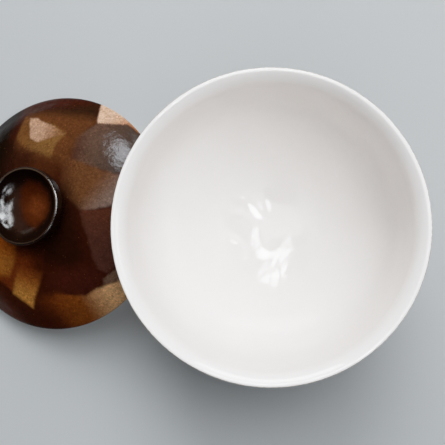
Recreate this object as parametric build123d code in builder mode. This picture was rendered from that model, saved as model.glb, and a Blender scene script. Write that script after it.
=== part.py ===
from build123d import *
import math
import os

# Lidded rice bowl, donburi type: a deep round stoneware bowl with a domed lid.
# Millimetres, +Z up. The origin is the centre of the bowl's foot ring, on the table plane.
# The bowl stands open on its foot. The lid leans beside it, on the -X side: its far edge is on
# the table and its near shoulder rests against the bowl, under the flare of the wall.
# Every piece is a body of revolution, about the bowl's axis or about the lid's own axis.

# ---------------------------------------------------------------- driving dimensions
glaze = 0.5                   # thickness of every glaze coat

bowl_height = 79.0            # table to the crest of the lip
lip_crest_radius = 73.7       # radius of the highest circle of the lip
lip_inner_round = 1.60        # rounding of the crest towards the inside
lip_outer_round = 1.25        # reach of the crest's rounding towards the outside
lip_outer_height = 77.7       # where that rounding ends, on the glaze
lip_outer_clay_height = 77.72  # the same place on the clay
lip_roll_angle = 35.0         # slope, in degrees, where the rolled lip meets the crest's rounding
wall_top_radius = 68.6        # inside radius where the wall ends and the rolled lip begins
wall_top_height = 70.96       # height of that circle
well_height = 10.6            # height of the middle of the bowl's floor, inside
foot_outer_radius = 31.5      # foot ring, bare clay
foot_inner_radius = 26.6      # at the underside of the bowl
foot_inner_base_radius = 27.5  # at the table
foot_round = 0.9              # rounding of both edges on the table
foot_height = 5.6             # from the table to the underside of the bowl
foot_glaze_stop = 2.6         # the outer glaze stops this far above the table
foot_flank_top = 7.63         # the foot's upright flank turns into the wall here

# Lid heights are measured from its lower edge, along its own axis.
lid_radius = 70.6             # widest radius of the lid
lid_edge_round = 0.9          # rounding of the clay at the lower edge
lid_well_height = 17.8        # middle of the underside
lid_land_radius = 15.6        # flat land in the middle of the lid that carries the knob
lid_land_height = 21.2
knob_radius = 21.9            # widest radius of the cup-shaped knob
knob_height = 34.4            # crest of the knob
knob_flank_base = 29.7        # bottom of the knob's upright flank
knob_dish_height = 26.4       # middle of the dished top
knob_round = 1.0              # rounding of the knob's rim

lid_rest_x = -129.0           # centre of the lid's lower edge, where the lid leans
lid_rest_y = 10.9
lid_lean = 10.49              # degrees between the lid's axis and the vertical
lid_heading = 165.0           # degrees about Z: the direction towards which the axis leans

# ---------------------------------------------------------------- profiles: (radius, height)
# Each is a finished glazed surface, followed by the directions of its two ends.
# Bowl inside, from the middle of the floor up to the start of the rolled lip.
inner_points = [
    (0.0, well_height), (20.0, 12.82), (40.0, 19.85), (54.0, 28.35), (61.4, 34.9),
    (65.1, 40.9), (67.0, 48.2), (67.85, 56.5), (68.3, 64.0), (wall_top_radius, wall_top_height),
]
inner_ends = [(1, 0), (0.03, 1)]

# Bowl outside, from the top of the foot up to the lip.
outer_points = [
    (34.6, 11.4), (42.0, 14.5), (50.0, 18.9), (56.0, 23.2), (60.6, 27.4), (65.0, 32.4),
    (69.0, 38.8), (71.5, 45.8), (72.9, 54.5), (73.85, 64.5), (74.55, 72.5), (74.95, 76.9),
]
outer_ends = [(1, 0.38), (0.07, 1)]

# Lid upper surface, from the knob's neck out to the edge.
upper_points = [
    (lid_land_radius, lid_land_height + glaze), (24.0, 20.85), (33.0, 19.3), (42.0, 16.95),
    (50.0, 14.1), (57.0, 10.75), (63.0, 7.1), (67.0, 4.25), (70.16, 1.92),
]
upper_ends = [(1, -0.03), (1, -0.95)]

# Lid underside, from the middle out to the bare contact ring.
lower_points = [
    (0.0, lid_well_height), (16.0, 17.2), (30.0, 15.5), (42.0, 12.55), (52.0, 8.9), (60.0, 5.0),
    (65.0, 2.05), (67.4, 0.55),
]
lower_ends = [(1, 0), (1, -0.62)]


def clay_under(points, ends, distance, steps=16):
    """Points on the clay: the finished curve moved by distance to its right (left if negative)."""
    edge = Edge.make_spline(
        [Vector(*point) for point in points],
        tangents=[Vector(*direction) for direction in ends],
    )
    moved = []
    for i in range(steps + 1):
        point = edge.position_at(i / steps)
        along = edge.tangent_at(i / steps)
        moved.append((point.X + along.Y * distance, point.Y - along.X * distance))
    return moved


# Three clay curves start exactly on the axis or on the land, so their first point is set.
inner_clay = clay_under(inner_points, inner_ends, glaze)
inner_clay[0] = (0.0, well_height - glaze)
outer_clay = clay_under(outer_points, outer_ends, -glaze)
upper_clay = clay_under(upper_points, upper_ends, glaze)
upper_clay[0] = (lid_land_radius, lid_land_height)
lower_clay = clay_under(lower_points, lower_ends, -glaze)
lower_clay[0] = (0.0, lid_well_height + glaze)

# Lip, finished surface: the wall rolls outwards in one wide arc to the small rounding of the
# crest. The closed lid sits on this roll, level and a little below the crest.
roll = math.radians(lip_roll_angle)
roll_end = (
    lip_crest_radius - lip_inner_round * math.sin(roll),
    bowl_height - lip_inner_round * (1 - math.cos(roll)),
)
lip_top = (lip_crest_radius, bowl_height)
lip_out = (lip_crest_radius + lip_outer_round, lip_outer_height)

# The same line one glaze thickness deeper, in the clay.
roll_end_clay = (roll_end[0] + glaze * math.sin(roll), roll_end[1] - glaze * math.cos(roll))
lip_top_clay = (lip_crest_radius, bowl_height - glaze)
lip_out_clay = (lip_out[0] - glaze, lip_outer_clay_height)

# Edge of the lid: the clay's rounding ends on the circle the lid stands on.
lid_clay_radius = lid_radius - glaze
contact_radius = lid_clay_radius - lid_edge_round

# ---------------------------------------------------------------- planes and axes
bowl_section = Plane.XZ       # local x is the radius, local y is the height
bowl_axis = Axis.Z

lean = math.radians(lid_lean)
heading = math.radians(lid_heading)
lid_normal = Vector(
    math.sin(lean) * math.cos(heading), math.sin(lean) * math.sin(heading), math.cos(lean)
)
lid_uphill = Vector(
    -math.cos(lean) * math.cos(heading), -math.cos(lean) * math.sin(heading), math.sin(lean)
)
# The lowest point of the rounded edge stands on the table.
lid_rest_z = contact_radius * math.sin(lean) + lid_edge_round * (1 - math.cos(lean))
lid_origin = Vector(lid_rest_x, lid_rest_y, lid_rest_z)
lid_plane = Plane(origin=lid_origin, x_dir=lid_uphill, z_dir=lid_normal)
lid_section = Plane(origin=lid_origin, x_dir=lid_plane.x_dir, z_dir=-lid_plane.y_dir)
lid_axis = Axis(lid_origin, lid_plane.z_dir)


# ---------------------------------------------------------------- shared profile lines
# Neighbouring pieces share these lines. Each call adds curves to the active BuildLine.
def bowl_inside(points, roll_point, top, out):
    """From the outside of the lip over the crest and the roll, down to the floor's middle."""
    TangentArc(top, out, tangent=(1, 0))
    TangentArc(top, roll_point, tangent=(-1, 0))
    TangentArc(points[-1], roll_point, tangent=inner_ends[1])
    Spline(*points, tangents=inner_ends)


def bowl_outside(points, flank_radius):
    """From the top of the foot's flank up the outside of the wall."""
    TangentArc((flank_radius, foot_flank_top), points[0], tangent=(0, 1))
    Spline(*points, tangents=outer_ends)


def lid_top(points, edge_radius):
    """From the land over the dome and round its edge."""
    Spline(*points, tangents=upper_ends)
    TangentArc((edge_radius, lid_edge_round), points[-1], tangent=(0, 1))


def save_piece(part, name):
    part.label = name
    export_step(part, f"parts/{name}.step")


os.makedirs("parts", exist_ok=True)

# ---------------------------------------------------------------- bowl
# Clay body: floor and wall, with a lip that rolls outwards.
with BuildPart() as bowl_body:
    with BuildSketch(bowl_section):
        with BuildLine():
            Polyline(inner_clay[0], (0, foot_height), (foot_outer_radius, foot_height),
                     (foot_outer_radius, foot_flank_top))
            bowl_outside(outer_clay, foot_outer_radius)
            Line(outer_clay[-1], lip_out_clay)
            bowl_inside(inner_clay, roll_end_clay, lip_top_clay, lip_out_clay)
        make_face()
    revolve(axis=bowl_axis)
save_piece(bowl_body.part, "bowl_body")

# Foot ring: bare clay, slightly tapered inside, rounded where it stands on the table.
with BuildPart() as bowl_foot_ring:
    with BuildSketch(bowl_section):
        with BuildLine():
            Polyline((foot_inner_radius, foot_height), (foot_inner_base_radius, 0),
                     (foot_outer_radius, 0), (foot_outer_radius, foot_height), close=True)
        make_face()
    revolve(axis=bowl_axis)
    table_edges = bowl_foot_ring.edges().filter_by(GeomType.CIRCLE).group_by(Axis.Z)[0]
    fillet(table_edges, radius=foot_round)
save_piece(bowl_foot_ring.part, "bowl_foot_ring")

# White liner glaze: covers the inside, the roll and the crest of the lip.
with BuildPart() as bowl_liner_glaze:
    with BuildSketch(bowl_section):
        with BuildLine():
            bowl_inside(inner_points, roll_end, lip_top, lip_out)
            Line(lip_out, lip_out_clay)
            bowl_inside(inner_clay, roll_end_clay, lip_top_clay, lip_out_clay)
            Line(inner_clay[0], inner_points[0])
        make_face()
    revolve(axis=bowl_axis)
save_piece(bowl_liner_glaze.part, "bowl_liner_glaze")

# Brown outer glaze: from just under the lip, down the wall and over the flank of the foot,
# where it ends in a rounded edge.
foot_glazed_radius = foot_outer_radius + glaze
glaze_stop = (foot_outer_radius, foot_glaze_stop)
glaze_round_top = (foot_glazed_radius, foot_glaze_stop + glaze)
with BuildPart() as bowl_outer_glaze:
    with BuildSketch(bowl_section):
        with BuildLine():
            Line((foot_outer_radius, foot_flank_top), glaze_stop)
            TangentArc(glaze_round_top, glaze_stop, tangent=(0, -1))
            Line(glaze_round_top, (foot_glazed_radius, foot_flank_top))
            bowl_outside(outer_points, foot_glazed_radius)
            Line(outer_points[-1], lip_out)
            Line(lip_out, lip_out_clay)
            Line(outer_clay[-1], lip_out_clay)
            bowl_outside(outer_clay, foot_outer_radius)
        make_face()
    revolve(axis=bowl_axis)
save_piece(bowl_outer_glaze.part, "bowl_outer_glaze")

# ---------------------------------------------------------------- lid
# Clay dome with a bare contact ring round its lower edge and a flat land for the knob.
# (radius, height) of the contact ring, from the edge's rounding inwards.
contact_ring = [(contact_radius, 0), (68.35, 0.0), (67.9, 0.3)]
with BuildPart() as lid_dome:
    with BuildSketch(lid_section):
        with BuildLine():
            Polyline(lower_clay[0], (0, lid_land_height), upper_clay[0])
            lid_top(upper_clay, lid_clay_radius)
            TangentArc((lid_clay_radius, lid_edge_round), contact_ring[0], tangent=(0, -1))
            Polyline(*contact_ring, lower_clay[-1])
            Spline(*lower_clay, tangents=lower_ends)
        make_face()
    revolve(axis=lid_axis)
save_piece(lid_dome.part, "lid_dome")

# Brown glaze over the dome and round its edge, down to the top of the lower edge's rounding.
with BuildPart() as lid_outer_glaze:
    with BuildSketch(lid_section):
        with BuildLine():
            lid_top(upper_points, lid_radius)
            Line((lid_radius, lid_edge_round), (lid_clay_radius, lid_edge_round))
            Line(upper_clay[0], upper_points[0])
            lid_top(upper_clay, lid_clay_radius)
        make_face()
    revolve(axis=lid_axis)
save_piece(lid_outer_glaze.part, "lid_outer_glaze")

# White liner glaze under the dome.
with BuildPart() as lid_liner_glaze:
    with BuildSketch(lid_section):
        with BuildLine():
            Spline(*lower_points, tangents=lower_ends)
            Line(lower_points[-1], lower_clay[-1])
            Spline(*lower_clay, tangents=lower_ends)
            Line(lower_clay[0], lower_points[0])
        make_face()
    revolve(axis=lid_axis)
save_piece(lid_liner_glaze.part, "lid_liner_glaze")

# Cup-shaped knob: a short waisted neck, a collar with an upright flank, and a dished top.
knob_rim_base = knob_height - knob_round
knob_rim_outer = (knob_radius, knob_rim_base)
knob_crest = (knob_radius - knob_round, knob_height)
knob_rim_inner = (knob_radius - 2 * knob_round, knob_rim_base)
# (radius, height) up the neck to the flank, and from the rim down to the middle of the dish.
neck_points = [
    (lid_land_radius, lid_land_height + glaze), (15.1, 24.2), (17.4, 26.7), (20.8, 28.1),
    (knob_radius, knob_flank_base),
]
dish_points = [knob_rim_inner, (18.9, 31.2), (15.0, 28.4), (8.2, 26.85), (0, knob_dish_height)]
with BuildPart() as lid_knob:
    with BuildSketch(lid_section):
        with BuildLine():
            Polyline(dish_points[-1], (0, lid_land_height), (lid_land_radius, lid_land_height),
                     neck_points[0])
            Spline(*neck_points, tangents=[(-0.6, 1), (0, 1)])
            Line(neck_points[-1], knob_rim_outer)
            TangentArc(knob_rim_outer, knob_crest, tangent=(0, 1))
            TangentArc(knob_crest, knob_rim_inner, tangent=(-1, 0))
            Spline(*dish_points, tangents=[(0, -1), (-1, 0)])
        make_face()
    revolve(axis=lid_axis)
save_piece(lid_knob.part, "lid_knob")
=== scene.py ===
# A glazed bowl standing on its foot ring, and beside it its domed lid with a dished knob. The bowl
# is upright about z. The lid tilts: its low edge, on the table, faces LID_HEADING round from +x.
# Both are turned about their own z axis in millimetres and then placed in the scene in metres.
import math
import random

import bpy
import numpy as np
from mathutils import Matrix, Vector, noise


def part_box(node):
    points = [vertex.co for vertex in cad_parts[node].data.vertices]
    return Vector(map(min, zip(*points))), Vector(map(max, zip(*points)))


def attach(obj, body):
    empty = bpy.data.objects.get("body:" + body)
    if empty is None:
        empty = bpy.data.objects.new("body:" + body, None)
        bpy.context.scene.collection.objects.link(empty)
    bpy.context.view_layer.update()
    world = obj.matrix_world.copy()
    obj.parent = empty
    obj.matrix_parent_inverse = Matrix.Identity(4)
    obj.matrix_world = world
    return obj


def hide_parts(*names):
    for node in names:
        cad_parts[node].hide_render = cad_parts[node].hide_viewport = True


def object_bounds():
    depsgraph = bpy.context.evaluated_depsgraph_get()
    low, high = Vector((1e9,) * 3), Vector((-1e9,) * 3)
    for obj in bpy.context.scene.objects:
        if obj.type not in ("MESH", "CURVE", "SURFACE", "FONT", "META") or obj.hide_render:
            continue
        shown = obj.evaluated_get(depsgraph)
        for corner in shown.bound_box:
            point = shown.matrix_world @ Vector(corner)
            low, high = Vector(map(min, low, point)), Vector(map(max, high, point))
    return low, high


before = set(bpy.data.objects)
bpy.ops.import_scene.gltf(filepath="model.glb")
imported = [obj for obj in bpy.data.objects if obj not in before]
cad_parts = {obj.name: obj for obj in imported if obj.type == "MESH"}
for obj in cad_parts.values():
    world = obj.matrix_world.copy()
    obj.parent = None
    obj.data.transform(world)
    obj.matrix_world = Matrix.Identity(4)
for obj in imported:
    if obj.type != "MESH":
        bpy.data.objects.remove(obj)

cad_lo, cad_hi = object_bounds()
MM = 0.001
random.seed(7)

# ------------------------------------------------------------------ sizes (mm)
GLAZE = 0.5  # thickness of the glaze coats

# Profile tables: (radius, height), from the axis or foot outwards.
INNER = [  # bowl, inside
    (0, 10.6), (20, 12.82), (40, 19.85), (54, 28.35), (61.4, 34.9),
    (65.1, 40.9), (67.0, 48.2), (67.85, 56.5), (68.3, 64.0), (68.6, 70.96)]
OUTER = [  # bowl, outside
    (34.6, 11.4), (42, 14.5), (50, 18.9), (56, 23.2), (60.6, 27.4), (65, 32.4),
    (69, 38.8), (71.5, 45.8), (72.9, 54.5), (73.85, 64.5), (74.55, 72.5), (74.95, 76.9)]
UPPER = [  # lid, top
    (15.6, 21.7), (24, 20.85), (33, 19.3), (42, 16.95), (50, 14.1),
    (57, 10.75), (63, 7.1), (67, 4.25), (70.16, 1.92)]
LOWER = [  # lid, underside
    (0, 17.8), (16, 17.2), (30, 15.5), (42, 12.55), (52, 8.9),
    (60, 5.0), (65, 2.05), (67.4, 0.55)]
KNOB_FLANK = [(15.6, 21.7), (15.1, 24.2), (17.4, 26.7), (20.8, 28.1), (21.9, 29.7)]
KNOB_DISH = [(19.9, 33.4), (18.9, 31.2), (15.0, 28.4), (8.2, 26.85), (0, 26.4)]

BOWL_HEIGHT = 79.0
CREST = (73.7, BOWL_HEIGHT)  # highest point of the bowl's rim
CREST_ROUND = 1.6  # radius of the rounding inside the crest
CREST_TURN = math.radians(35)  # how far that rounding turns
RIM_OUT = (74.95, 77.7)
RIM_CLAY = (RIM_OUT[0] - GLAZE, 77.72)

FOOT_RADIUS = 31.5
FOOT_TOP = 5.6
FLANK_RADIUS = FOOT_RADIUS + GLAZE
FLANK_TOP = 7.63  # where the foot's flank starts to curve into the wall
FILLET_CLAY_END = (34.42, 11.87)  # where that curve meets the wall, under the glaze

LID_RADIUS = 70.6
LID_EDGE = 0.9  # height of the lid's widest point, and the rounding of its clay below it
LID_CLAY = (LID_RADIUS - GLAZE, LID_EDGE)
LID_REST = LID_CLAY[0] - LID_EDGE  # radius the lid rests on

KNOB_SEAT, NECK_HEIGHT = UPPER[0]
SEAT_HEIGHT = NECK_HEIGHT - GLAZE
KNOB_RADIUS, KNOB_SIDE_TOP = 21.9, 33.4
KNOB_ROUND = 1.0  # rounding of the knob's rim
KNOB_CREST = (KNOB_RADIUS - KNOB_ROUND, KNOB_SIDE_TOP + KNOB_ROUND)

SEGMENTS = 384
OUTSIDE_SEGMENTS = SEGMENTS + 96  # surfaces that carry painted patches
KNOB_SEGMENTS = 200
FINE_STEP = 0.9

# Hand-made unevenness: amount and scale in mm, and a noise offset.
BOWL_UNEVEN = dict(amount=0.06, scale=26.0, seed=1.5)
LID_UNEVEN = dict(amount=0.05, scale=20.0, seed=4.5)
KNOB_UNEVEN = dict(amount=0.05, scale=9.0, seed=6.5)

LID_LEAN, LID_HEADING = math.radians(10.49), math.radians(165.0)


# ------------------------------------------------------------------ profile curves
def unit(vector):
    return np.array(vector, float) / np.hypot(*vector)


def spline(points, start, end, step):
    """Points about step apart on a cubic spline, clamped to the start and end directions."""
    knots = np.array(points, float)
    at = np.r_[0, np.cumsum(np.hypot(*np.diff(knots, axis=0).T))]
    total = len(at)
    gap = np.diff(at)
    system = np.zeros((total, total))
    wanted = np.zeros((total, 2))
    system[0, 0] = system[-1, -1] = 1
    wanted[0], wanted[-1] = unit(start), unit(end)
    for i in range(1, total - 1):
        system[i, i - 1] = 1 / gap[i - 1]
        system[i, i] = 2 * (1 / gap[i - 1] + 1 / gap[i])
        system[i, i + 1] = 1 / gap[i]
        wanted[i] = 3 * ((knots[i] - knots[i - 1]) / gap[i - 1] ** 2
                         + (knots[i + 1] - knots[i]) / gap[i] ** 2)
    slope = np.linalg.solve(system, wanted)
    count = max(2, int(round(at[-1] / step)))
    out = []
    for length in np.linspace(0, at[-1], count + 1):
        i = min(max(int(np.searchsorted(at, length)) - 1, 0), total - 2)
        u = (length - at[i]) / gap[i]
        out.append(tuple(
            (2 * u**3 - 3 * u**2 + 1) * knots[i] + (u**3 - 2 * u**2 + u) * gap[i] * slope[i]
            + (-2 * u**3 + 3 * u**2) * knots[i + 1] + (u**3 - u**2) * gap[i] * slope[i + 1]))
    return out


def arc(start, tangent, end, count):
    """Points of the circle arc that leaves start along tangent and reaches end."""
    start, end = np.array(start, float), np.array(end, float)
    along = unit(tangent)
    chord = end - start
    normal = np.array([-along[1], along[0]])
    bend = 2 * (chord @ normal) / (chord @ chord)
    centre = start + normal / bend
    first = math.atan2(*(start - centre)[::-1])
    last = math.atan2(*(end - centre)[::-1])
    if bend > 0:
        while last < first:
            last += 2 * math.pi
    else:
        while last > first:
            last -= 2 * math.pi
    radius = abs(1 / bend)
    return [tuple(centre + radius * np.array([math.cos(angle), math.sin(angle)]))
            for angle in np.linspace(first, last, count + 1)]


def offset(points, distance):
    """A polyline moved to its right-hand side."""
    line = np.array(points, float)
    along = np.gradient(line, axis=0)
    along /= np.hypot(along[:, 0], along[:, 1])[:, None]
    return [tuple(q) for q in line + distance * np.stack([along[:, 1], -along[:, 0]], 1)]


def join(*runs):
    """One polyline from several, without repeated points."""
    out = []
    for run in runs:
        for q in run:
            if not out or math.dist(q, out[-1]) > 1e-3:
                out.append((float(q[0]), float(q[1])))
    if math.dist(out[0], out[-1]) < 1e-3:
        out.pop()
    return out


# ------------------------------------------------------------------ where the bowl and lid stand
def placed(x_axis, y_axis, z_axis, origin):
    return Matrix.Translation(origin) @ Matrix((x_axis, y_axis, z_axis)).transposed().to_4x4()


# The lid's local x points to its raised side. Its glaze coat's box gives its middle across the
# table, and its dome's box gives its lowest point.
lid_up = Vector((math.sin(LID_LEAN) * math.cos(LID_HEADING),
                 math.sin(LID_LEAN) * math.sin(LID_HEADING), math.cos(LID_LEAN)))
lid_x = Vector((-math.cos(LID_LEAN) * math.cos(LID_HEADING),
                -math.cos(LID_LEAN) * math.sin(LID_HEADING), math.sin(LID_LEAN)))
coat_lo, coat_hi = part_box("lid_outer_glaze")
lid_middle = (coat_lo + coat_hi) / 2
lid_rise = LID_REST * math.sin(LID_LEAN) + LID_EDGE * (1 - math.cos(LID_LEAN))
LID = placed(lid_x, lid_up.cross(lid_x), lid_up, Vector((
    lid_middle.x - lid_up.x * LID_EDGE * MM,
    lid_middle.y - lid_up.y * LID_EDGE * MM,
    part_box("lid_dome")[0].z + lid_rise * MM)))
bowl_lo, bowl_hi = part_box("bowl_liner_glaze")
BOWL = Matrix.Translation(((bowl_lo.x + bowl_hi.x) / 2, (bowl_lo.y + bowl_hi.y) / 2,
                           bowl_hi.z - BOWL_HEIGHT * MM))


# ------------------------------------------------------------------ lathe
def soft_noise(points, scale, seed):
    """Smooth noise of each point, about -1 to 1."""
    return np.array([noise.noise(Vector(q)) for q in points / scale + seed])


def wander(local, amount, scale, seed):
    """Points moved by noise, outwards for the walls and upwards for the floors."""
    radius = np.hypot(local[:, 0], local[:, 1])
    shift = soft_noise(local, scale, seed) * amount
    outward = np.zeros_like(local)
    safe = radius > 1e-6
    outward[safe, :2] = local[safe, :2] / radius[safe, None]
    out = local + outward * shift[:, None]
    out[:, 2] += shift * 0.6
    return out


def signed_volume(points, faces):
    """Positive where the faces look outwards; a sample of the faces is enough for the sign."""
    middle = points.mean(0)
    total = 0.0
    for face in faces[:: max(1, len(faces) // 4000)]:
        a, b, c = (points[i] for i in face[:3])
        total += float(np.dot(a - middle, np.cross(b - a, c - a)))
    return total


def lathe(name, section, segments, place, uneven=None, tone=None):
    """A solid of revolution about local z. section is a closed list of (radius, height), and a
    point on the axis becomes a single vertex. uneven holds wander's settings, and tone gives
    the vertex colours. The attribute mm keeps the local position for the materials."""
    verts, rings = [], []
    angles = np.linspace(0, 2 * math.pi, segments, endpoint=False)
    for radius, height in section:
        count = 1 if radius < 1e-6 else segments
        rings.append(range(len(verts), len(verts) + count))
        if count == 1:
            verts.append((0.0, 0.0, height))
        else:
            verts.extend(zip(radius * np.cos(angles), radius * np.sin(angles),
                             [height] * segments))
    faces = []
    for i, ring in enumerate(rings):
        after = rings[(i + 1) % len(rings)]
        if len(ring) == 1 and len(after) == 1:
            continue
        for k in range(segments):
            k2 = (k + 1) % segments
            if len(ring) == 1:
                faces.append((ring[0], after[k], after[k2]))
            elif len(after) == 1:
                faces.append((ring[k2], ring[k], after[0]))
            else:
                faces.append((ring[k], after[k], after[k2], ring[k2]))
    local = np.array(verts, float)
    if uneven:
        local = wander(local, **uneven)
    mesh = bpy.data.meshes.new(name)
    matrix = np.array(place)
    world = local * MM @ matrix[:3, :3].T + matrix[:3, 3]
    mesh.from_pydata([tuple(q) for q in world], [], faces)
    mesh.update()
    if signed_volume(world, faces) < 0:
        mesh.flip_normals()
    mesh.polygons.foreach_set("use_smooth", [True] * len(mesh.polygons))
    kept = mesh.attributes.new("mm", "FLOAT_VECTOR", "POINT")
    kept.data.foreach_set("vector", local.astype(np.float32).ravel())
    if tone:
        painted = mesh.attributes.new("tone", "FLOAT_COLOR", "POINT")
        painted.data.foreach_set("color", tone(local).astype(np.float32).ravel())
    obj = bpy.data.objects.new(name, mesh)
    bpy.context.scene.collection.objects.link(obj)
    return obj


# ------------------------------------------------------------------ painting the brown glazes
def srgb(*channels):
    """Linear colour of sRGB values from 0 to 255."""
    share = np.array(channels) / 255.0
    return np.where(share <= 0.04045, share / 12.92, ((share + 0.055) / 1.055) ** 2.4)


BASE = srgb(47, 17, 7)
NEARBLACK = srgb(19, 7, 3)
LIFT = 1.62  # overall strength of the brown glazes' colours
PALETTE = [
    srgb(98, 58, 26), srgb(122, 78, 42), srgb(70, 42, 28), srgb(140, 100, 62),
    srgb(58, 40, 32), srgb(112, 62, 24), srgb(34, 18, 12)]
RARE = srgb(176, 136, 106)


def outline_distance(x, y, outline):
    """Signed distance to a polygon, negative inside."""
    nearest = np.full(x.shape, 1e18)
    inside = np.zeros(x.shape, bool)
    for (ax, ay), (bx, by) in zip(outline, outline[1:] + outline[:1]):
        ex, ey = bx - ax, by - ay
        wx, wy = x - ax, y - ay
        t = np.clip((wx * ex + wy * ey) / (ex * ex + ey * ey), 0, 1)
        nearest = np.minimum(nearest, (wx - ex * t) ** 2 + (wy - ey * t) ** 2)
        inside ^= ((ay > y) != (by > y)) & (x < ex * wy / (ey if ey else 1e-12) + ax)
    nearest = np.sqrt(nearest)
    return np.where(inside, -nearest, nearest)


def smooth(start, end, value):
    t = np.clip((value - start) / (end - start), 0, 1)
    return t * t * (3 - 2 * t)


def mixed(colour, other, amount):
    return colour * (1 - amount[:, None]) + other * amount[:, None]


def lay(colour, x, y, wobble, outline, tint, end_tint=None, blend=None,
        edge=0.6, strength=1.0, fade=None):
    """Lays a patch over the colours. wobble unsettles its outline and edge softens it. blend and
    fade are (x, y, from, to): tint runs to end_tint along blend, and the patch appears along
    fade."""
    def along(run):
        return smooth(run[2], run[3], x * run[0] + y * run[1])

    cover = 1 - smooth(-edge, edge, outline_distance(x, y, outline) + wobble)
    if fade:
        cover = cover * along(fade)
    if blend:
        tint = mixed(tint, end_tint, along(blend))
    return mixed(colour, tint, cover * strength)


def random_patch(rng, cx, cy, size, turn):
    """A crooked four-sided outline about (cx, cy)."""
    a = rng.uniform(0.7, 1.25) * size
    b = rng.uniform(0.5, 0.95) * size
    corners = [(-a, -b),
               (a * rng.uniform(0.7, 1.1), -b * rng.uniform(0.7, 1.2)),
               (a * rng.uniform(0.8, 1.2), b),
               (-a * rng.uniform(0.5, 1.0), b * rng.uniform(0.7, 1.1))]
    co, si = math.cos(turn), math.sin(turn)
    return [(cx + x * co - y * si, cy + x * si + y * co) for x, y in corners]


def vertex_colours(colour):
    return np.concatenate([np.clip(colour * LIFT, 0, 1), np.ones((len(colour), 1))], 1)


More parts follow.
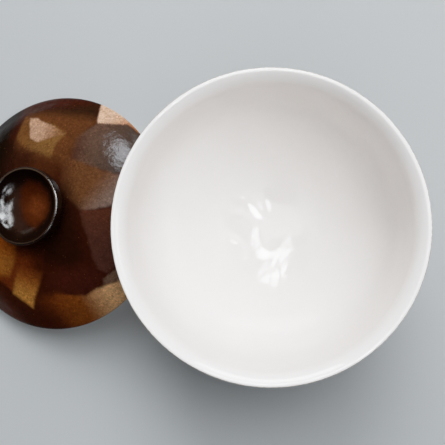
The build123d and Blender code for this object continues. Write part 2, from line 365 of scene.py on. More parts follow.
# Patches on the lid in the order they are laid, in its local x and y.
LID_PATCHES = [
    # dark -x side, amber glow on the +y side of the knob
    dict(outline=[(-70, 66), (-42, 60), (-36, 36), (-24, 30), (-24, 8), (-34, -14), (-60, -26),
                  (-80, 0)], tint=srgb(17, 8, 3), edge=5.0),
    dict(outline=[(-33, 54), (12, 70), (17, 57), (12, 46), (10, 30), (4, 19), (-20, 17),
                  (-29, 34)],
         tint=srgb(80, 47, 23), end_tint=srgb(39, 21, 10), blend=(-0.08, 1, 53, 63), edge=4.0),
    dict(outline=[(-26, 30), (12, 30), (14, 14), (-24, 10)],
         tint=srgb(52, 22, 9), edge=6.0, strength=0.8),
    dict(outline=[(-34, 32), (-13, 30), (-11, 15), (-30, 8)],
         tint=srgb(36, 15, 7), edge=6.0, strength=0.8),
    # ochre patch with its peach half
    dict(outline=[(-33.2, 51.3), (-30.5, 36.2), (-19.3, 31.1), (-0.6, 29.5), (-1.1, 38.6),
                  (2.4, 46.7), (-14, 50.9)],
         tint=srgb(90, 58, 28), end_tint=srgb(102, 72, 37), blend=(1, -0.2, -34, -16),
         edge=1.0, fade=(0.1, 1.0, 27, 34)),
    dict(outline=[(-29.2, 51.2), (-22.4, 51.6), (-9.1, 49), (2.7, 46.2), (-3.4, 43.1),
                  (-14, 37.8), (-20, 38.4)],
         tint=srgb(152, 123, 103), end_tint=srgb(110, 78, 49), blend=(1, 0.1, -13, 4)),
    # smoky patch, and a peach corner beyond it in +y
    dict(outline=[(16.8, 57.3), (32.2, 61.1), (43.2, 57.1), (48, 44), (39, 30.4), (25.8, 31.1),
                  (10.8, 31.4), (8.7, 45)],
         tint=srgb(80, 59, 47), end_tint=srgb(60, 46, 38), blend=(1, 0, 15, 40),
         edge=0.7, fade=(0.97, 0.24, 15, 30)),
    dict(outline=[(11.1, 69.6), (16.4, 57.1), (32.2, 61.1), (43.2, 57.1), (48.5, 60.6),
                  (22.8, 75.2)],
         tint=srgb(182, 151, 132), end_tint=srgb(142, 92, 55), blend=(0.86, -0.5, -14, 4),
         edge=0.5),
    # tan patch, dying out towards the knob; towards +x the tan turns a pale grey, a painted sheen
    # of the window's reflection
    dict(outline=[(5.2, 33.5), (25.8, 31.1), (39, 30.4), (52, 29), (52, 16), (42.3, 12.3),
                  (35.1, 8.2), (28.5, 5.5), (12.7, 12.6)],
         tint=srgb(87, 55, 31), end_tint=srgb(118, 103, 96), blend=(0.9, -0.4, 16, 38),
         edge=1.4, fade=(0.95, 0.3, 10, 27)),
    # plum brown patch on the raised side, with dark and red-brown ones beside it
    dict(outline=[(27.0, 5.5), (36, 8.6), (46, 12.8), (58, 17), (62, -10), (54, -18), (49, -25),
                  (44, -24), (39.8, -18), (35.5, -8.5), (31, -3)],
         tint=srgb(72, 39, 26), end_tint=srgb(66, 38, 30), blend=(0.1, -1, -8, 14),
         edge=1.0, fade=(0.4, 0.9, -12, -2)),
    dict(outline=[(14, 18), (25, 8), (31, -6), (37, -20), (28, -29), (12, -26), (6, -10),
                  (8, 6)], tint=NEARBLACK * 1.3, edge=6.0, strength=0.75),
    dict(outline=[(36, -26), (46, -26), (46, -36), (30, -44), (18, -40), (22, -32)],
         tint=srgb(56, 22, 14), edge=5.0, strength=0.8),
    dict(outline=[(47.7, -28.6), (52.7, -22.1), (60, -15), (66, -25), (55.4, -27.7),
                  (48.1, -31.6)], tint=srgb(100, 76, 62), edge=0.7),
    # amber crescent along the -y edge, brightest towards +x
    dict(outline=[(-20, -44), (7.3, -52.3), (24, -44.8), (40, -50), (38, -62), (5.4, -76),
                  (-24, -72)],
         tint=srgb(92, 42, 12), end_tint=srgb(50, 18, 6), blend=(-0.55, -0.83, 22, 44),
         edge=4.0),
    dict(outline=[(22, -45.2), (39.5, -41.1), (45.8, -34.5), (55.4, -27.9), (66, -19),
                  (75, -30), (60, -52), (44, -62), (26, -66), (14, -56)],
         tint=srgb(194, 154, 110), end_tint=srgb(108, 57, 18), blend=(-0.855, -0.518, -28, -7),
         edge=1.0, fade=(0.855, 0.518, -12, 6)),
    # amber patches on the -y side of the knob
    dict(outline=[(-44, -20.9), (-20.2, -21.3), (-2.9, -22.9), (12.1, -22.2), (13.7, -36.8),
                  (7.3, -57.3), (-4.4, -53.1), (-16.7, -47.3), (-41.8, -43.4)],
         tint=srgb(88, 38, 12), end_tint=srgb(54, 20, 6), blend=(1, 0.25, -8, 3),
         edge=1.2, fade=(0.1, -1, 21, 30)),
    dict(outline=[(-44, -20.9), (-20.2, -21.3), (-7.2, -24.5), (-6.6, -32.9), (-9.3, -42.8),
                  (-16.9, -44.5), (-41.5, -41.3)],
         tint=srgb(128, 78, 28), end_tint=srgb(124, 62, 16), blend=(0, 1, -36, -24), edge=1.8),
    dict(outline=[(-4, -34.7), (13.3, -34), (7.3, -57.3), (-6.2, -52.6)],
         tint=srgb(118, 66, 24), end_tint=srgb(162, 114, 52), blend=(0, -1, 38, 55),
         edge=1.5, fade=(0, -1, 31, 46)),
    # brown edge towards -x and -y
    dict(outline=[(-80, -20), (-46, -26), (-30, -46), (-6, -60), (10, -90), (-80, -90)],
         tint=srgb(76, 38, 25), edge=5.0, strength=0.8, fade=(-0.6, -0.8, 44, 62)),
]


def lid_tone(local):
    x, y = local[:, 0], local[:, 1]
    wobble = (soft_noise(local, scale=5.0, seed=3.1) * 0.6
              + soft_noise(local, scale=1.6, seed=8.2) * 0.3)
    broad = soft_noise(local, scale=22.0, seed=5.5)
    colour = BASE * (1 + 0.25 * broad[:, None])
    # random patches, kept to the low -x side
    low_side = 1 - smooth(-48, -39, x)
    rng = random.Random(11)
    for _ in range(12):
        turn = rng.uniform(0, math.pi)
        angle = rng.uniform(math.radians(118), math.radians(242))
        radius = rng.uniform(38, 62)
        outline = random_patch(rng, radius * math.cos(angle), radius * math.sin(angle),
                               rng.uniform(10, 16), turn)
        shade = PALETTE[rng.randrange(len(PALETTE))]
        middle = radius * math.cos(angle - turn)
        laid = lay(colour, x, y, wobble, outline, shade * rng.uniform(0.6, 0.95), shade * 0.45,
                   blend=(math.cos(turn), math.sin(turn), middle - 10, middle + 14),
                   edge=rng.uniform(0.4, 2.5))
        colour = mixed(colour, laid, low_side)
    for patch in LID_PATCHES:
        colour = lay(colour, x, y, wobble, **patch)
    # darker round the foot of the knob
    near_knob = 1 - smooth(17.0, 22.5, np.hypot(x, y))
    return vertex_colours(mixed(colour, NEARBLACK, 0.6 * near_knob))


def bowl_tone(local):
    """Random patches wrapped round the wall, laid out by distance round it and height."""
    angle = np.arctan2(local[:, 1], local[:, 0])
    z = local[:, 2]
    wobble = (soft_noise(local, scale=5.0, seed=13.1) * 0.7
              + soft_noise(local, scale=1.6, seed=18.2) * 0.35)
    broad = soft_noise(local, scale=24.0, seed=15.5)
    colour = BASE * (1 + 0.35 * broad[:, None])
    wall_radius, reach = 66.0, 45
    rng = random.Random(5)
    for _ in range(34):
        around = rng.uniform(-math.pi, math.pi)
        height = rng.uniform(16, 72)
        turn = rng.uniform(-0.9, 0.9) + (math.pi / 2 if rng.random() < 0.4 else 0)
        outline = random_patch(rng, 0, height, rng.uniform(11, 19), turn)
        shade = RARE if rng.random() > 0.93 else PALETTE[rng.randrange(len(PALETTE))]
        x = ((angle - around + math.pi) % (2 * math.pi) - math.pi) * wall_radius
        near = np.abs(x) < reach
        middle = height * math.sin(turn)
        across = turn + 1.3
        start = -height * math.cos(across)
        colour[near] = lay(
            colour[near], x[near], z[near], wobble[near], outline,
            shade * rng.uniform(0.75, 1.0), shade * 0.5,
            blend=(math.cos(turn), math.sin(turn), middle - 12, middle + 14),
            edge=rng.choice([0.5, 0.7, 1.4, 3.0]),
            fade=(math.sin(across), -math.cos(across), start - 14, start - 2))
    colour = mixed(colour, NEARBLACK, 0.7 * (1 - smooth(9.0, 15.0, z)))
    return vertex_colours(mixed(colour, srgb(64, 34, 20), 0.5 * smooth(75.2, 77.2, z)))


# In the knob's dish: a greyish painted sheen on the low side, standing in for the window's glow
# round its reflections, and amber towards the raised side.
DISH_PATCHES = [
    dict(outline=[(-13.5, 8), (-7.5, 10), (-3, 2), (0, -8), (4, -12), (-2, -15.5), (-9, -13),
                  (-12.5, -6), (-14, 1)], tint=srgb(46, 29, 22), edge=4.0, strength=0.85),
    dict(outline=[(12.2, 4), (9.2, 10.8), (2.5, 14.6), (-5.5, 13.8), (-9, 7.5), (-6.8, 0),
                  (-3.4, -6.5), (1.5, -9.8), (7.4, -10.2), (11.8, -2.8)],
         tint=srgb(58, 21, 5), end_tint=srgb(66, 28, 8), blend=(0.3, -1, -12, 0),
         edge=2.9, strength=0.95),
]


def knob_tone(local):
    x, y, z = local.T
    wobble = soft_noise(local, scale=4.0, seed=23.1)
    plain = np.tile(srgb(17, 7, 4), (len(x), 1))
    colour = plain
    for patch in DISH_PATCHES:
        colour = lay(colour, x, y, wobble, **patch)
    # the amber is brightest at its middle
    core = 1 - smooth(2.0, 9.0, np.hypot(x - 4.2, y - 1.0) + wobble * 1.6)
    colour = mixed(colour, srgb(90, 44, 17), core * 0.82)
    dish = (z > 26.0) & (np.hypot(x, y) < 19.8)
    colour = np.where(dish[:, None], colour, plain)
    # painted highlight: a paler line on the crest of the rim, stronger on one side, for the
    # window's glint along it
    crest = smooth(34.22, 34.4, z) * 0.7 * (0.4 + 0.6 * smooth(-17, 4, y - 0.5 * x))
    return vertex_colours(mixed(colour, srgb(78, 64, 52), crest))


# ------------------------------------------------------------------ node helpers
class Graph:
    """Builds a node tree. Any input may be a plain value or another node's output."""

    def __init__(self, tree):
        self.tree = tree
        tree.nodes.clear()

    def fill(self, node, inputs):
        for key, value in inputs.items():
            if isinstance(value, bpy.types.NodeSocket):
                self.tree.links.new(value, node.inputs[key])
            else:
                node.inputs[key].default_value = value

    def node(self, kind, inputs={}, **properties):
        made = self.tree.nodes.new(kind)
        for key, value in properties.items():
            setattr(made, key, value)
        self.fill(made, inputs)
        return made

    def attribute(self, name, output):
        made = self.node("ShaderNodeAttribute", attribute_name=name,
                         attribute_type="GEOMETRY")
        return made.outputs[output]

    def light_path(self, output):
        return self.node("ShaderNodeLightPath").outputs[output]

    def shifted(self, vector, *shift):
        return self.node("ShaderNodeVectorMath", {0: vector, 1: shift},
                         operation="ADD").outputs[0]

    def noise(self, vector, scale, detail=3.0, rough=0.5, distortion=0.0):
        return self.node("ShaderNodeTexNoise", {
            "Vector": vector, "Scale": scale, "Detail": detail, "Roughness": rough,
            "Distortion": distortion}).outputs["Fac"]

    def cells(self, vector, scale):
        return self.node("ShaderNodeTexVoronoi", {"Vector": vector, "Scale": scale}).outputs

    def channel(self, colour, index):
        return self.node("ShaderNodeSeparateColor", {0: colour}).outputs[index]

    def spots(self, vector, scale, size, channel, pick):
        """Scattered dots that fade out over size, in the cells whose random value passes pick."""
        cells = self.cells(vector, scale)
        dots = self.ramp(cells["Distance"], over=size, to=(1.0, 0.0))
        chosen = self.ramp(self.channel(cells["Color"], channel), over=pick)
        return self.calc("MULTIPLY", dots, chosen)

    def ramp(self, value, over, to=(0.0, 1.0)):
        return self.node("ShaderNodeMapRange", {
            "Value": value, "From Min": over[0], "From Max": over[1],
            "To Min": to[0], "To Max": to[1]}).outputs["Result"]

    def calc(self, operation, a, b=0.0):
        return self.node("ShaderNodeMath", {0: a, 1: b}, operation=operation).outputs[0]

    def mix(self, amount, a, b, mode="MIX"):
        return self.node("ShaderNodeMix", {"Factor": amount, "A": a, "B": b},
                         data_type="RGBA", blend_type=mode).outputs["Result"]

    def times(self, colour, *factors):
        return self.mix(1.0, colour, (*factors, 1.0), "MULTIPLY")

    def split(self, vector):
        return self.node("ShaderNodeSeparateXYZ", {0: vector}).outputs

    def bump(self, height, strength, distance, over=None):
        """A bump in metres, on top of the normal it lies over."""
        inputs = {"Height": height, "Strength": strength, "Distance": distance}
        if over:
            inputs["Normal"] = over
        return self.node("ShaderNodeBump", inputs).outputs["Normal"]

    def emission(self, colour, strength=1.0):
        return self.node("ShaderNodeEmission", {"Color": colour, "Strength": strength}).outputs[0]

    def mix_shader(self, amount, a, b):
        return self.node("ShaderNodeMixShader", {0: amount, 1: a, 2: b}).outputs[0]


class Surface(Graph):
    """A material's node tree, with a principled shader on its output."""

    def __init__(self, name):
        self.material = bpy.data.materials.new(name)
        self.material.use_nodes = True
        super().__init__(self.material.node_tree)
        self.output = self.node("ShaderNodeOutputMaterial")
        self.shader = self.node("ShaderNodeBsdfPrincipled")
        self.show(self.shader.outputs[0])

    def show(self, shader):
        self.fill(self.output, {0: shader})

    def set(self, inputs):
        self.fill(self.shader, inputs)


def paint(*channels):
    """sRGB values as a node colour."""
    return (*srgb(*channels).tolist(), 1.0)


# ------------------------------------------------------------------ materials
# Noise scales are per millimetre; seeds shift each piece's texture.
def white_glaze_material(name, seed):
    t = Surface(name)
    local = t.attribute("mm", "Vector")
    at = t.shifted(local, seed, seed * 1.7, -seed)
    cloud = t.noise(at, scale=0.035, rough=0.55)
    mottle = t.noise(at, scale=0.35, detail=4, rough=0.6)
    base = t.mix(t.ramp(cloud, over=(0.35, 0.65)), paint(246, 242, 240), paint(243, 239, 237))
    base = t.mix(t.ramp(mottle, over=(0.3, 0.75), to=(0.0, 0.3)), base, paint(237, 234, 230))
    # a few faint iron specks
    specks = t.spots(at, scale=0.16, size=(0.0, 0.045), channel=0, pick=(0.86, 0.9))
    base = t.mix(t.calc("MULTIPLY", specks, 0.45), base, paint(150, 118, 88))
    # painted highlight: the lip's thick roll of glaze is made the whitest part, standing in for
    # the window's highlights along it
    roll = t.calc("MULTIPLY", t.ramp(t.split(local)[2], over=(73.5, 77.5)), 0.7)
    base = t.mix(roll, base, paint(253, 252, 252))
    # glaze thins over the crest of the lip: a warmer, darker line on its outer edge
    x, y, z = t.split(local)
    radius = t.calc("SQRT", t.calc("ADD", t.calc("POWER", x, 2), t.calc("POWER", y, 2)))
    lip = t.calc("MULTIPLY", t.ramp(z, over=(72.0, 74.0)), t.ramp(radius, over=(74.0, 74.65)))
    ragged = t.calc("SUBTRACT", t.noise(at, scale=0.5, rough=0.6), 0.5)
    edge = t.calc("ADD", lip, t.calc("MULTIPLY", ragged, 0.9))
    base = t.mix(t.ramp(edge, over=(0.66, 1.02), to=(0, 0.7)), base, paint(112, 84, 66))
    sheen = t.noise(at, scale=0.2, detail=4, rough=0.6)
    # glossiest in the well, where glaze pools, and on the lip; drier on the wall between
    gloss = t.calc("ADD", t.ramp(z, over=(13.5, 17.0), to=(0.5, 0.12)),
                   t.ramp(z, over=(71.0, 75.0), to=(0.0, 0.5)))
    waves = t.bump(t.noise(at, scale=0.05, detail=2, rough=0.4), strength=0.5, distance=0.00018)
    peel = t.bump(t.noise(at, scale=0.9, detail=2), strength=0.10, distance=0.00003, over=waves)
    pits = t.ramp(t.cells(at, scale=0.45)["Distance"], over=(0.0, 0.07))
    t.set({
        "Base Color": base,
        "Roughness": t.ramp(sheen, over=(0.3, 0.75), to=(0.02, 0.045)),
        "IOR": 1.5,
        "Specular IOR Level": gloss,
        "Subsurface Weight": 0.12,
        "Subsurface Radius": (1.0, 0.8, 0.65),
        "Subsurface Scale": 0.0012,
        "Normal": t.bump(pits, strength=0.12, distance=0.00005, over=peel)})
    return t.material


def brown_glaze_material(name, seed, gloss=0.115, speckle=1.0, specular=0.25, ripple=0.0006):
    """gloss is the lowest roughness, and ripple the height of the broad waves in metres."""
    t = Surface(name)
    at = t.shifted(t.attribute("mm", "Vector"), seed, -seed * 1.3, seed * 0.7)
    tone = t.attribute("tone", "Color")
    # fine grain: dark and light flecks, most visible on the lighter patches
    fine = t.noise(at, scale=0.88, detail=4, rough=0.72)
    patchy = t.ramp(t.noise(at, scale=0.22, rough=0.6), over=(0.36, 0.62), to=(0.35, 1.0))
    middle = t.noise(at, scale=0.40, detail=4, rough=0.65)
    broad = t.noise(at, scale=0.07, detail=4, rough=0.6, distortion=0.6)
    level = t.ramp(t.channel(tone, 0), over=(0.02, 0.14), to=(0.3, 1.0))
    level = t.calc("MULTIPLY", level, patchy)
    dark = t.calc("MULTIPLY", t.ramp(fine, over=(0.36, 0.52), to=(1.0, 0.0)), level)
    light = t.calc("MULTIPLY", t.ramp(fine, over=(0.54, 0.70)), level)
    colour = t.mix(t.calc("MULTIPLY", dark, 0.72 * speckle), tone,
                   t.times(tone, 0.26, 0.18, 0.14))
    colour = t.mix(t.calc("MULTIPLY", light, 0.60 * speckle), colour,
                   t.times(tone, 2.0, 1.9, 1.8))
    colour = t.mix(t.ramp(middle, over=(0.38, 0.68), to=(0.0, 0.5)), colour,
                   t.times(tone, 0.45, 0.38, 0.34))
    colour = t.mix(t.ramp(broad, over=(0.3, 0.7), to=(0.0, 0.35)), colour,
                   t.times(colour, 1.32, 1.24, 1.12))
    # sparse rusty flecks
    flecks = t.spots(at, scale=0.55, size=(0.05, 0.16), channel=1, pick=(0.62, 0.72))
    colour = t.mix(t.calc("MULTIPLY", flecks, 0.55 * speckle), colour, paint(150, 96, 52))
    waves = t.bump(t.noise(at, scale=0.16, detail=2), strength=0.5, distance=ripple)
    grain = t.noise(at, scale=0.95, rough=0.7)
    t.set({
        "Base Color": colour,
        "Roughness": t.ramp(middle, over=(0.3, 0.7), to=(gloss, gloss * 1.9)),
        "IOR": 1.5,
        "Specular IOR Level": specular,
        "Normal": t.bump(grain, strength=0.35, distance=0.00016, over=waves)})
    return t.material


def clay_material(name, seed):
    t = Surface(name)
    at = t.shifted(t.attribute("mm", "Vector"), seed, seed, seed)
    big = t.noise(at, scale=0.12, detail=4, rough=0.6)
    grit = t.noise(at, scale=1.6, detail=4, rough=0.75)
    base = t.mix(t.ramp(big, over=(0.3, 0.7)), paint(150, 112, 84), paint(128, 88, 62))
    base = t.mix(t.ramp(grit, over=(0.35, 0.6), to=(0.55, 0.0)), base, paint(84, 56, 40))
    grains = t.ramp(t.cells(at, scale=1.1)["Distance"], over=(0.1, 0.2), to=(0.5, 0.0))
    base = t.mix(grains, base, paint(196, 168, 140))
    turning = t.node("ShaderNodeTexWave", {"Vector": at, "Scale": 0.28, "Distortion": 1.2},
                     wave_type="RINGS", rings_direction="Z")
    lines = t.bump(turning.outputs["Fac"], strength=0.35, distance=0.00025)
    t.set({
        "Base Color": base,
        "Roughness": t.ramp(grit, over=(0.2, 0.8), to=(0.72, 0.92)),
        "IOR": 1.45,
        "Normal": t.bump(grit, strength=0.7, distance=0.00025, over=lines)})
    return t.material


# ------------------------------------------------------------------ pieces
def outer_wall(step):
    return spline(OUTER, (1, 0.38), (0.07, 1), step)


def dome_top(step):
    return spline(UPPER, (1, -0.03), (1, -0.95), step)


def dome_underside(step):
    return spline(LOWER, (1, 0), (1, -0.62), step)


# Bowl liner: the wall rolls outwards in one wide arc to the small rounding of the crest.
roll_end = (CREST[0] - CREST_ROUND * math.sin(CREST_TURN),
            CREST[1] - CREST_ROUND * (1 - math.cos(CREST_TURN)))
liner_top = join(
    spline(INNER, (1, 0), (0.03, 1), 1.6),
    arc(INNER[-1], (0.03, 1), roll_end, 16),
    arc(CREST, (-1, 0), roll_end, 6)[::-1],
    arc(CREST, (1, 0), RIM_OUT, 9))
liner_under = offset(liner_top, GLAZE)
liner_under[0] = (0.0, INNER[0][1] - GLAZE)
bowl_liner = lathe("bowl_liner_skin", liner_top + liner_under[::-1], SEGMENTS, BOWL,
                   BOWL_UNEVEN)

# Bowl outside, from the foot's flank up to the rim.
clay_wall = join(
    arc((FOOT_RADIUS, FLANK_TOP), (0, 1), FILLET_CLAY_END, 6),
    offset(outer_wall(4.0), -GLAZE),
    [RIM_CLAY])
outer_section = join(
    arc((FLANK_RADIUS, 3.1), (0, -1), (FOOT_RADIUS, 2.6), 5)[::-1],
    arc((FLANK_RADIUS, FLANK_TOP), (0, 1), OUTER[0], 8),
    outer_wall(FINE_STEP),
    [RIM_OUT],
    clay_wall[::-1])
bowl_outer = lathe("bowl_outer_skin", outer_section, OUTSIDE_SEGMENTS, BOWL,
                   BOWL_UNEVEN, bowl_tone)

# Glaze over the lid's dome.
dome_section = join(
    dome_top(FINE_STEP),
    arc((LID_RADIUS, LID_EDGE), (0, 1), UPPER[-1], 6)[::-1],
    [LID_CLAY],
    offset(dome_top(4.0), GLAZE)[:0:-1],
    [(KNOB_SEAT, SEAT_HEIGHT)])
lid_dome = lathe("lid_dome_skin", dome_section, OUTSIDE_SEGMENTS, LID, LID_UNEVEN, lid_tone)

# Glaze under the lid.
underside_clay = offset(dome_underside(3.0), -GLAZE)
underside_clay[0] = (0.0, LOWER[0][1] + GLAZE)
lid_liner = lathe("lid_liner_skin", join(dome_underside(1.6), underside_clay[::-1]),
                  SEGMENTS, LID, LID_UNEVEN)

# Knob: flat seat, flared flank, rounded rim and dished top.
knob_section = join(
    [KNOB_DISH[-1], (0, SEAT_HEIGHT), (8, SEAT_HEIGHT), (KNOB_SEAT, SEAT_HEIGHT)],
    spline(KNOB_FLANK, (-0.6, 1), (0, 1), 0.5),
    spline([KNOB_FLANK[-1], (KNOB_RADIUS, KNOB_SIDE_TOP)], (0, 1), (0, 1), 0.6),
    arc((KNOB_RADIUS, KNOB_SIDE_TOP), (0, 1), KNOB_CREST, 8),
    arc(KNOB_CREST, (-1, 0), KNOB_DISH[0], 8),
    spline(KNOB_DISH, (0, -1), (-1, 0), 0.5))
lid_knob = lathe("lid_knob_glazed", knob_section, KNOB_SEGMENTS, LID, KNOB_UNEVEN, knob_tone)

# Bare clay of the lid, between its two coats.
lid_clay = lathe("lid_clay", join(
    [underside_clay[0], (0, SEAT_HEIGHT), (KNOB_SEAT, SEAT_HEIGHT)],
    offset(dome_top(3.0), GLAZE)[1:],
    arc(LID_CLAY, (0, 1), offset(UPPER, GLAZE)[-1], 4)[::-1],
    arc(LID_CLAY, (0, -1), (LID_REST, 0.0), 8),
    [(68.35, 0.0), (67.9, 0.3)],
    underside_clay[::-1]), SEGMENTS, LID)

# Bare clay of the bowl, between its two coats.
bowl_clay = lathe("bowl_clay", join(
    [liner_under[0], (0, FOOT_TOP), (12, FOOT_TOP), (FOOT_RADIUS, FOOT_TOP)],
    clay_wall,
    liner_under[:0:-1]), SEGMENTS, BOWL)

# Foot ring, standing on the table.
foot_ring = lathe("foot_ring_turned", join(
    [(26.6, FOOT_TOP), (27.36, 0.9)],
    arc((27.36, 0.95), (0.13, -1), (28.3, 0.0), 5),
    [(29.5, 0.0)],
    arc((30.6, 0.0), (1, 0), (FOOT_RADIUS, 0.9), 6),
    [(FOOT_RADIUS, 3.0), (FOOT_RADIUS, FOOT_TOP)]), SEGMENTS, BOWL)

white_bowl = white_glaze_material("white_glaze_bowl", seed=3.0)
white_lid = white_glaze_material("white_glaze_lid", seed=41.0)
brown_bowl = brown_glaze_material("brown_glaze_bowl", seed=9.0)
brown_lid = brown_glaze_material("brown_glaze_lid", seed=17.0)
dark_knob = brown_glaze_material("dark_glaze_knob", seed=29.0, gloss=0.03, speckle=0.6,
                                 specular=0.44, ripple=0.0001)
raw_bowl = clay_material("clay_bowl", seed=2.0)
raw_foot = clay_material("clay_foot", seed=12.0)
raw_lid = clay_material("clay_lid", seed=22.0)

# Piece, the body it rides on, the CAD piece it replaces, slot, material.
PARTS = [
    (bowl_liner, "bowl", "bowl_liner_glaze", "white_glaze", white_bowl),
    (bowl_outer, "bowl", "bowl_outer_glaze", "brown_glaze", brown_bowl),
    (lid_dome, "lid", "lid_outer_glaze", "brown_glaze", brown_lid),
    (lid_liner, "lid", "lid_liner_glaze", "white_glaze", white_lid),
    (lid_knob, "lid", "lid_knob", "dark_glaze", dark_knob),
    (lid_clay, "lid", "lid_dome", "bare_clay", raw_lid),
    (bowl_clay, "bowl", "bowl_body", "bare_clay", raw_bowl),
    (foot_ring, "bowl", "bowl_foot_ring", "bare_clay", raw_foot),
]
for piece, body, original, slot, material in PARTS:
    piece.data.materials.append(material)
    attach(piece, body)
    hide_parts(original)

# ------------------------------------------------------------------ table and room (metres)
scene = bpy.context.scene
BACKDROP = (0.40, 0.43, 0.45, 1)
TABLE_HALF = 3.0
TABLE_GAP = 0.0002  # clearance below the lowest CAD piece


def table_material():
    t = Surface("pale_table")
    at = t.node("ShaderNodeTexCoord").outputs["Object"]
    cloud = t.ramp(t.noise(at, scale=5.0), over=(0.3, 0.7))
    t.set({
        "Roughness": 0.62,
        "Specular IOR Level": 0.25,
        "Base Color": t.mix(cloud, paint(208, 214, 217), paint(205, 211, 215))})
    away = t.node("ShaderNodeVectorMath", {0: at}, operation="LENGTH").outputs["Value"]
    # what the glazes mirror of the table fades into the dim room away from the object
    dim = t.calc("MULTIPLY", t.light_path("Is Glossy Ray"), t.ramp(away, over=(0.12, 0.30)))
    look = t.mix_shader(dim, t.shader.outputs[0], t.emission((0.012, 0.012, 0.011, 1)))
    # seen straight, the far table melts into the plain backdrop
    seen = t.light_path("Is Camera Ray")
    far = t.calc("MULTIPLY", seen, t.ramp(away, over=(0.30, 1.0)))
    look = t.mix_shader(far, look, t.emission(BACKDROP))
    # from underneath the table is clear, so the foot ring and the lid's hollow can be seen
    below = t.calc("MULTIPLY", seen, t.node("ShaderNodeNewGeometry").outputs["Backfacing"])
    clear = t.node("ShaderNodeBsdfTransparent").outputs[0]
    t.show(t.mix_shader(below, look, clear))
    return t.material


floor_mesh = bpy.data.meshes.new("floor")
floor_mesh.from_pydata(
    [(sx * TABLE_HALF, sy * TABLE_HALF, 0) for sx, sy in ((-1, -1), (1, -1), (1, 1), (-1, 1))],
    [], [(0, 1, 2, 3)])
floor = bpy.data.objects.new("floor", floor_mesh)
scene.collection.objects.link(floor)
floor.location.z = cad_lo.z - TABLE_GAP
floor_mesh.materials.append(table_material())

# The room: darkest overhead, a little lighter lower down, and fainter in what the glazes mirror.
world = bpy.data.worlds.new("studio")
scene.world = world
world.use_nodes = True
room = Graph(world.node_tree)
height = room.split(room.node("ShaderNodeTexCoord").outputs["Generated"])[2]
shade = room.node("ShaderNodeValToRGB", {0: height})
stops = shade.color_ramp.elements
stops[0].position, stops[0].color = 0.0, (0.034, 0.038, 0.036, 1)
stops[1].position, stops[1].color = 1.0, (0.008, 0.008, 0.009, 1)
stops.new(0.45).color = (0.014, 0.015, 0.015, 1)
rays = room.node("ShaderNodeLightPath").outputs
lit = room.node("ShaderNodeBackground", {
    "Color": shade.outputs[0],
    "Strength": room.ramp(rays["Is Glossy Ray"], over=(0.0, 1.0), to=(1.0, 0.35))})
# the camera sees a plain pale backdrop past the table's edge, which lights nothing
plain = room.node("ShaderNodeBackground", {"Color": BACKDROP})
room.node("ShaderNodeOutputWorld", {
    0: room.mix_shader(rays["Is Camera Ray"], lit.outputs[0], plain.outputs[0])})

# ------------------------------------------------------------------ lights
DISTANCE = 2.0  # of lights and screens from the origin
SOFT_SIZE = 1.3


def toward(azimuth, elevation):
    a, e = math.radians(azimuth), math.radians(elevation)
    return Vector((math.cos(a) * math.cos(e), math.sin(a) * math.cos(e), math.sin(e)))


def span(degrees):
    """Width that covers an angle at the lights' distance."""
    return 2 * DISTANCE * math.tan(math.radians(degrees / 2))


def area(name, shape, location, target, wide, tall, power, colour):
    light = bpy.data.lights.new(name, "AREA")
    light.shape = shape
    light.size, light.size_y = wide, tall
    light.energy = power
    light.color = colour
    light.spread = math.pi
    obj = bpy.data.objects.new(name, light)
    obj.location = location
    obj.rotation_mode = "QUATERNION"
    obj.rotation_quaternion = (location - Vector(target)).to_track_quat("Z", "Y")
    scene.collection.objects.link(obj)
    return obj


def soft(name, azimuth, elevation, power):
    """A round soft box aimed at the origin, which the glazes don't mirror."""
    obj = area(name, "DISK", toward(azimuth, elevation) * DISTANCE, (0, 0, 0),
               SOFT_SIZE, SOFT_SIZE, power, (1, 1, 1))
    obj.visible_glossy = False
    return obj


def collect(name, objects):
    group = bpy.data.collections.new(name)
    for obj in objects:
        group.objects.link(obj)
    return group


def only_for(light, *objects):
    """The light reaches these objects and no others."""
    light.light_linking.receiver_collection = collect(light.name + "_receivers", objects)


GAIN = 18.8
for name, azimuth, elevation, share in [
    ("window_high", 45, 58, 0.665),
    ("window_top", 90, 58, 0.50),
    ("window_low", 90, 35, 0.989),
    ("wall_right", 0, 35, 0.379),
    ("wall_near", 270, 58, 0.16),
    ("wall_left", 135, 15, 0.432),
]:
    soft(name, azimuth, elevation, GAIN * share)

# Light from high up that reaches the inside of the bowl.
only_for(soft("overhead", azimuth=0, elevation=79, power=18.0), bowl_liner)
# A weak fill from below, which the table doesn't shade, shows the surfaces that face down.
pieces = [part[0] for part in PARTS]
underfill = soft("underfill", azimuth=60, elevation=-62, power=8.0)
only_for(underfill, *[piece for piece in pieces if piece != bowl_liner])
underfill.light_linking.blocker_collection = collect("underfill_blockers", pieces)


# ------------------------------------------------------------------ what the glazes mirror
def pane(name, corners, strength, colour, piece):
    """A bright flat polygon that one piece mirrors, and only straight to the camera."""
    mesh = bpy.data.meshes.new(name)
    mesh.from_pydata(corners, [], [tuple(range(len(corners)))])
    obj = bpy.data.objects.new(name, mesh)
    scene.collection.objects.link(obj)
    t = Surface(name)
    first = t.calc("LESS_THAN", t.light_path("Ray Depth"), 1.5)
    t.show(t.emission((*colour, 1), t.calc("MULTIPLY", first, strength)))
    mesh.materials.append(t.material)
    obj.visible_camera = obj.visible_diffuse = False
    obj.visible_shadow = obj.visible_transmission = False
    only_for(obj, piece)


def panes(prefix, table, gain, colour, piece):
    """Level panes from a table of strengths and (x, y) corners."""
    for i, (strength, corners) in enumerate(table):
        pane(f"{prefix}_{i + 1:02d}", [(x, y, 1.5) for x, y in corners], gain * strength,
             colour, piece)


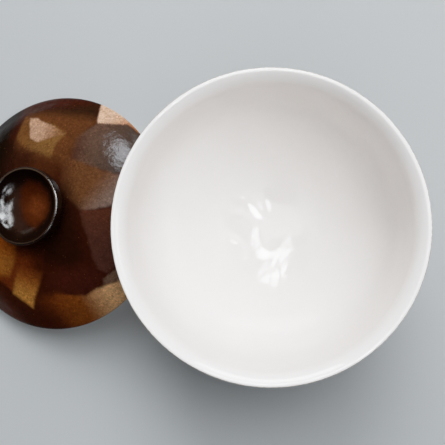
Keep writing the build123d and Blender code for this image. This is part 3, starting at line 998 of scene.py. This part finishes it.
def screen(name, azimuth, elevation, wide, tall, strength, colour, piece):
    """A bright rectangle facing the origin; its sizes are in degrees."""
    out = toward(azimuth, elevation)
    side = Vector((0, 0, 1)).cross(out).normalized() * span(wide) / 2
    up = out.cross(side).normalized() * span(tall) / 2
    corners = [tuple(out * DISTANCE + su * side + sv * up)
               for su, sv in ((-1, -1), (1, -1), (1, 1), (-1, 1))]
    pane(name, corners, strength, colour, piece)


def opening(name, azimuth, elevation, wide, tall, radiance, colour, piece):
    """A rectangular light that one piece mirrors; its sizes are in degrees."""
    w, h = span(wide), span(tall)
    obj = area(name, "RECTANGLE", toward(azimuth, elevation) * DISTANCE, (0, 0, 0.01),
               w, h, radiance * math.pi * w * h, colour)
    obj.visible_diffuse = False
    only_for(obj, piece)


# The bowl's floor: a window with its glazing bars, broken up by the waviness of the glaze.
BOWL_PANES = [
    (6.5, [(0.235, -0.011), (0.162, 0.012), (0.132, 0.061), (0.142, 0.208), (0.285, 0.242)]),
    (4.6, [(0.277, 0.242), (0.148, 0.208), (0.09, 0.322), (0.025, 0.388), (-0.051, 0.404),
           (-0.052, 0.522), (0.042, 0.549), (0.18, 0.499)]),
    (4.2, [(0.042, 0.549), (-0.056, 0.522), (-0.047, 0.74), (-0.042, 1.068), (0.043, 1.036),
           (0.104, 1.006), (0.173, 0.89), (0.13, 0.781)]),
    (4.2, [(-0.077, 0.521), (-0.171, 0.533), (-0.194, 0.704), (-0.208, 0.928), (-0.176, 1.13),
           (-0.082, 1.114), (-0.065, 0.958), (-0.07, 0.698)]),
    (4.2, [(-0.198, 0.537), (-0.322, 0.547), (-0.356, 0.961), (-0.275, 0.946),
           (-0.241, 0.884), (-0.219, 0.707)]),
    (4.0, [(-0.051, 0.404), (-0.132, 0.387), (-0.316, 0.432), (-0.361, 0.449),
           (-0.327, 0.549), (-0.052, 0.522)]),
    (3.6, [(-0.132, 0.387), (-0.203, 0.32), (-0.31, 0.16), (-0.4, 0.183), (-0.398, 0.279),
           (-0.43, 0.358), (-0.361, 0.449), (-0.272, 0.446)]),
    (5.0, [(0.323, -0.387), (0.279, -0.391), (0.219, -0.351), (0.153, -0.264),
           (0.085, -0.18), (0.1, -0.146), (0.15, -0.146), (0.235, -0.232)]),
    (1.6, [(0.172, -0.417), (0.122, -0.424), (0.069, -0.329), (0.072, -0.273), (0.13, -0.298)]),
    (2.6, [(0.039, -0.46), (-0.01, -0.453), (-0.054, -0.387), (-0.055, -0.252),
           (-0.001, -0.27), (0.015, -0.362)]),
    (3.0, [(0.465, -0.556), (0.42, -0.557), (0.395, -0.499), (0.428, -0.483)]),
    (1.6, [(0.713, 0.159), (0.621, 0.143), (0.605, 0.186), (0.68, 0.206)]),
    (2.2, [(0.662, 0.241), (0.585, 0.212), (0.49, 0.267), (0.534, 0.292), (0.647, 0.276)]),
]
panes("pane", BOWL_PANES, gain=6.5, colour=(0.97, 0.99, 1.0), piece=bowl_liner)

# The lip picks up the low part of the window and the wall on the +x side.
WHITE = (1, 1, 1)
screen("lip_window", azimuth=92, elevation=22, wide=50, tall=20, strength=7.5, colour=WHITE,
       piece=bowl_liner)
screen("lip_wall", azimuth=10, elevation=27, wide=26, tall=13, strength=5.0, colour=WHITE,
       piece=bowl_liner)

# Round the window a pale glow, in steps too faint to show an edge:
# centre x and y, radius in x and y, strength.
GLOWS = [(0.05, 0.1, 0.62, 0.72, 3.3), (0.02, -0.02, 0.95, 0.98, 2.3),
         (0.0, -0.12, 1.3, 1.25, 1.2)]
for i, (cx, cy, rx, ry, strength) in enumerate(GLOWS):
    turns = [math.tau * k / 48 for k in range(48)]
    ring = [(cx + rx * math.cos(a), cy + ry * math.sin(a), 1.53 + 0.03 * i) for a in turns]
    pane(f"glow_{i + 1:02d}", ring, strength, WHITE, bowl_liner)

# The lid: the window, cooler, and a pale wall on the +x side.
opening("dome_window", azimuth=80, elevation=44, wide=17, tall=20, radiance=17.0,
        colour=(0.84, 0.92, 1.0), piece=lid_dome)
opening("dome_wall", azimuth=15, elevation=55, wide=40, tall=30, radiance=2.6,
        colour=(0.95, 0.97, 1.0), piece=lid_dome)

# The knob is glossier: its dish shows the window broken into panes, and its rim a bright arc.
KNOB_PANES = [
    (9.0, [(0.889, -1.066), (0.543, -1.539), (0.279, -1.239), (0.286, -0.926),
           (0.576, -0.865)]),
    (11.0, [(0.128, -0.629), (-0.019, -0.727), (-0.251, -0.646), (-0.33, -0.494),
            (-0.468, -0.382), (-0.428, -0.33), (-0.196, -0.401), (-0.066, -0.419)]),
    (1.6, [(0.496, -1.852), (-0.259, -1.13), (-0.539, -0.597), (-0.512, -0.365),
           (-0.262, -0.663), (0.191, -1.082)]),
    (8.0, [(0.72, -0.519), (0.45, -0.519), (0.196, -0.34), (0.305, -0.299), (0.564, -0.378)]),
    (17.0, [(0.855, -0.286), (0.373, -0.195), (0.089, 0.098), (0.021, 0.283), (0.11, 0.495),
            (0.318, 0.537), (0.338, 0.306), (0.492, 0.141), (0.737, 0.009)]),
    (15.0, [(-0.018, 0.187), (-0.296, 0.159), (-0.53, 0.13), (-0.642, 0.062),
            (-0.735, 0.092), (-0.749, 0.191), (-0.685, 0.295), (-0.593, 0.362),
            (-0.025, 0.441)]),
    (13.0, [(0.711, 0.11), (0.496, 0.23), (0.421, 0.372), (0.415, 0.526), (0.711, 0.63)]),
    (24.0, [(0.721, 0.68), (0.259, 0.549), (-0.143, 0.447), (-0.415, 0.411),
            (-0.361, 0.551), (-0.262, 0.737), (-0.007, 0.852), (0.329, 1.13),
            (0.702, 1.262), (0.886, 1.215)]),
    (15.0, [(-0.464, 0.406), (-0.636, 0.381), (-0.761, 0.476), (-0.762, 0.615),
            (-0.665, 0.812), (-0.579, 1.155), (-0.372, 1.26), (-0.271, 1.071),
            (-0.28, 0.826), (-0.388, 0.568)]),
    (15.0, [(0.913, 1.563), (0.518, 1.5), (0.13, 1.42), (-0.178, 1.373), (-0.395, 1.321),
            (-0.033, 2.003), (0.374, 2.201), (0.742, 1.929)]),
]
panes("knob_pane", KNOB_PANES, gain=1.0, colour=(0.93, 0.97, 1.0), piece=lid_knob)
screen("knob_wall", azimuth=20, elevation=46, wide=46, tall=36, strength=26.0,
       colour=(0.97, 0.95, 1.0), piece=lid_knob)
screen("knob_low", azimuth=141, elevation=30, wide=20, tall=5, strength=1.0,
       colour=(1.0, 0.90, 0.78), piece=lid_knob)

# ------------------------------------------------------------------ camera
# It looks down from above the bowl's rim, tilted a little in x and y.
CAMERA_X, CAMERA_Y, CAMERA_ABOVE_RIM = 0.0067, -0.0075, 0.2567
tilt_x, tilt_y = math.sin(math.radians(-6.06)), math.sin(math.radians(2.04))
camera_data = bpy.data.cameras.new("camera")
camera_data.sensor_width = 36.0
camera_data.lens = 44.494382
camera_data.clip_start, camera_data.clip_end = 0.01, 20
camera = bpy.data.objects.new("camera", camera_data)
scene.collection.objects.link(camera)
view = Vector((tilt_x, tilt_y, -math.sqrt(1 - tilt_x ** 2 - tilt_y ** 2)))
right = view.cross(Vector((0, 1, 0))).normalized()
rim_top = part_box("bowl_liner_glaze")[1].z
camera.matrix_world = placed(right, right.cross(view), -view,
                             Vector((CAMERA_X, CAMERA_Y, rim_top + CAMERA_ABOVE_RIM)))
scene.camera = camera

# A soft shoulder: above KNEE, highlights roll off instead of clipping.
KNEE, WHITE_LEVEL = 0.33, 3.0
scene.view_settings.view_transform = "Standard"
scene.view_settings.look = "None"
scene.view_settings.use_curve_mapping = True
shoulder = scene.view_settings.curve_mapping
shoulder.white_level = (WHITE_LEVEL,) * 3


def rolled(level):
    if level <= KNEE:
        return level
    return KNEE + (1 - KNEE) * (1 - math.exp(-(level - KNEE) / (1 - KNEE)))


curve = shoulder.curves[3]
curve.points[0].location = (0, 0)
curve.points[1].location = (1, rolled(WHITE_LEVEL))
for level in (0.1, 0.2, KNEE, 0.42, 0.52, 0.65, 0.8, 1.0, 1.25, 1.6, 2.1):
    curve.points.new(level / WHITE_LEVEL, rolled(level))
shoulder.update()
